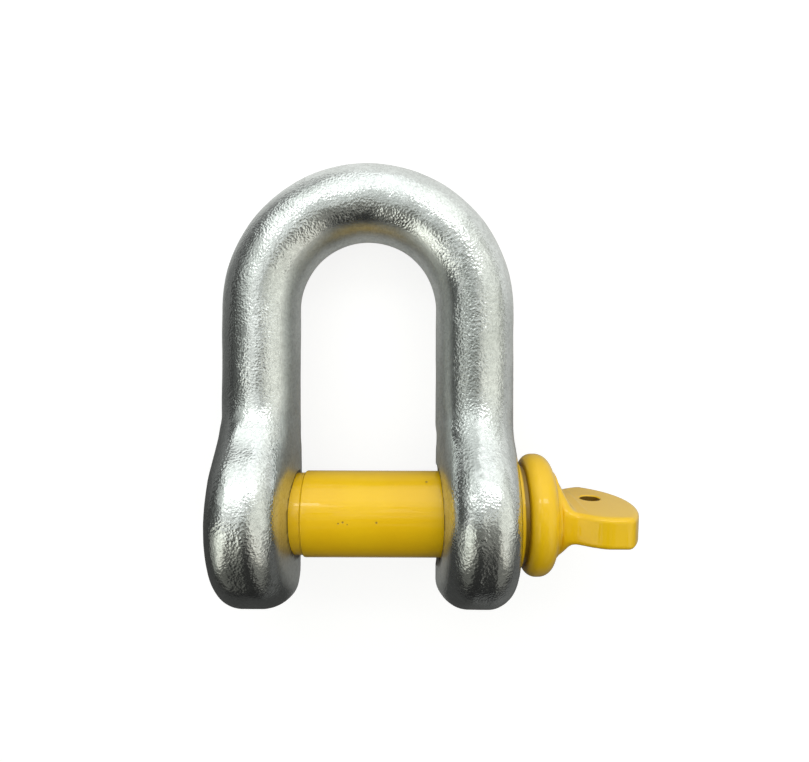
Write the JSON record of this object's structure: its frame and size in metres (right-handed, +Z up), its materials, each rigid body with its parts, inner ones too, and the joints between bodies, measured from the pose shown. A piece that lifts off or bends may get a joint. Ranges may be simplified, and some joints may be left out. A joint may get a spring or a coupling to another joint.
{
  "type": "screw pin chain shackle",
  "caption": "Forged dee-shaped joining shackle with thick round eyes, closed by a screw pin with a round collar and a flat head with a wire hole.",
  "frame": {"origin": "centre of the footprint at ground level, where the two eyes and the crown of the bow rest", "axes": "+X along the pin, from its threaded tip to its head; +Y from the pin towards the bow; +Z up from the ground, nearly square to the plane of the dee"},
  "size_m": [0.1342, 0.1432, 0.0596],
  "materials": {
    "galvanised_steel": "hot-dip galvanised drop forging, bright, with a fine dimpled skin",
    "yellow_paint": "glossy safety yellow paint on a forged pin, thin enough to show small pits"
  },
  "bodies": {
    "shackle": {"shackle_body": "galvanised_steel"},
    "pin": {"screw_pin": "yellow_paint"}
  },
  "joints": [
    {"name": "pin_slide", "type": "slide", "parent": "shackle", "child": "pin", "axis": [1, 0, 0], "range_m": [0, 0.072]}
  ]
}
